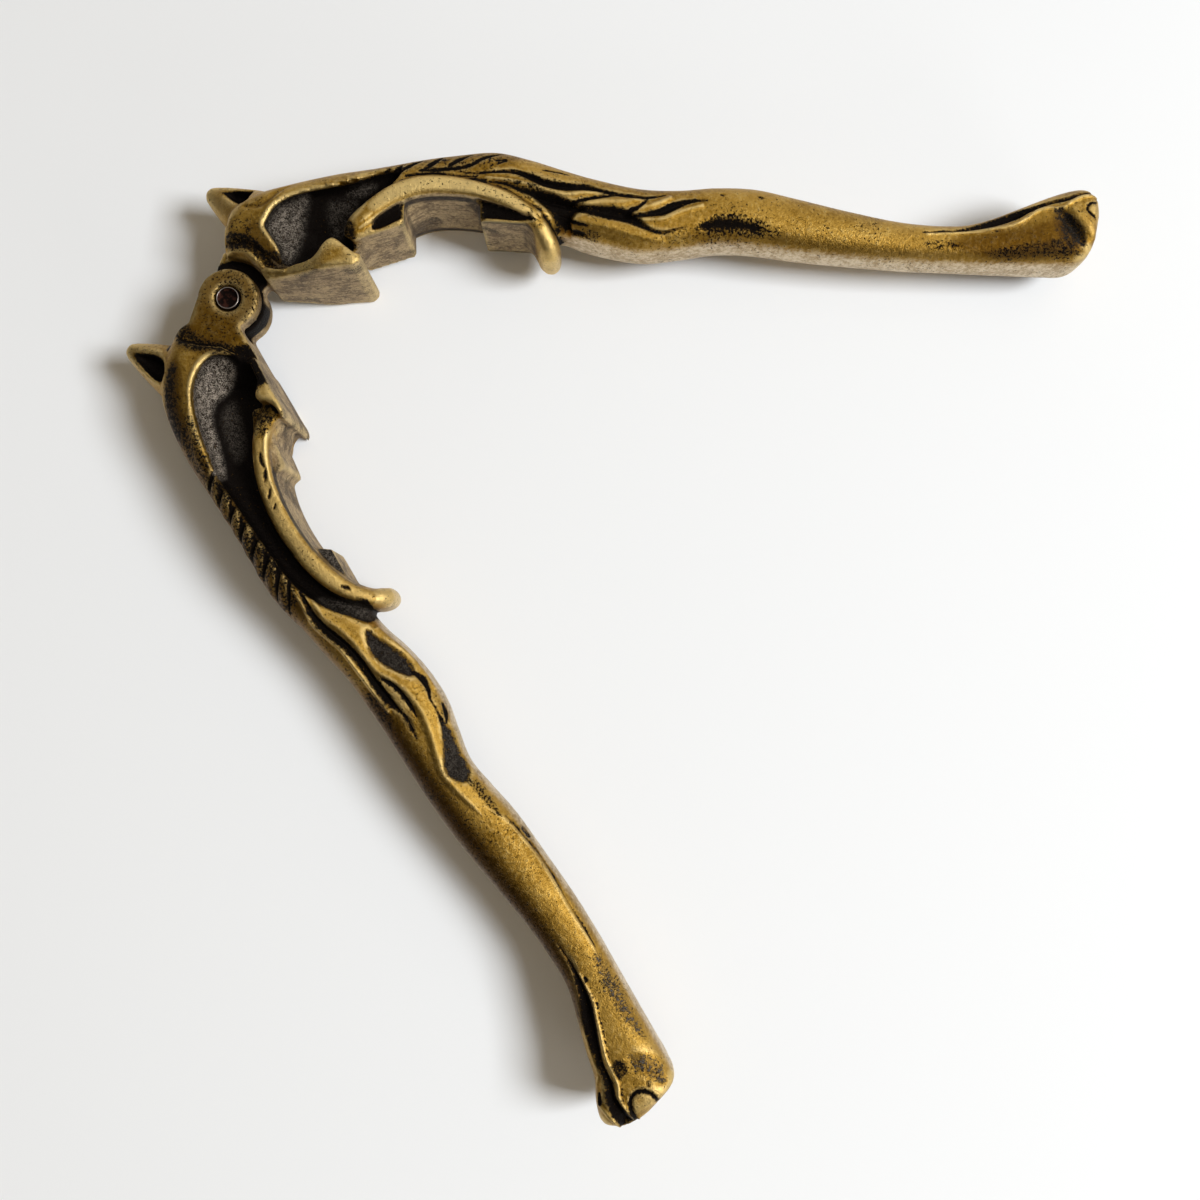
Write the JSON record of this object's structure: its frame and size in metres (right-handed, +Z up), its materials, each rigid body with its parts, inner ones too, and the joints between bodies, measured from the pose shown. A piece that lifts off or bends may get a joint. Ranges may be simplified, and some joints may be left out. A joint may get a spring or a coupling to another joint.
{
  "type": "figural nutcracker",
  "caption": "Cast brass lever nutcracker: eared animal-like heads with stepped jaws and a nut hollow, curved handles ending in cloven feet, joined by a riveted hinge pin.",
  "frame": {"origin": "centre of the tool's bounding box, on the surface that it lies on", "axes": "+Z up along the hinge axis; +X along the upper lever, from the hinge to its foot; +Y from the lower lever's side to the upper lever's"},
  "size_m": [0.1558, 0.1518, 0.018],
  "materials": {
    "cast_brass": "aged cast brass, worn bright on the high spots, with near-black patina in the hollows",
    "dark_steel": "dark worn steel with a thin bright rim"
  },
  "bodies": {
    "lower": {"lower_lever": "cast_brass", "hinge_pin": "dark_steel"},
    "upper": {"upper_lever": "cast_brass"}
  },
  "joints": [
    {"name": "hinge", "type": "hinge", "parent": "lower", "child": "upper", "pos_m": [-0.06028, 0.05123, 0.00899], "axis": [0, 0, 1], "range_deg": [-61.5, 85]}
  ]
}
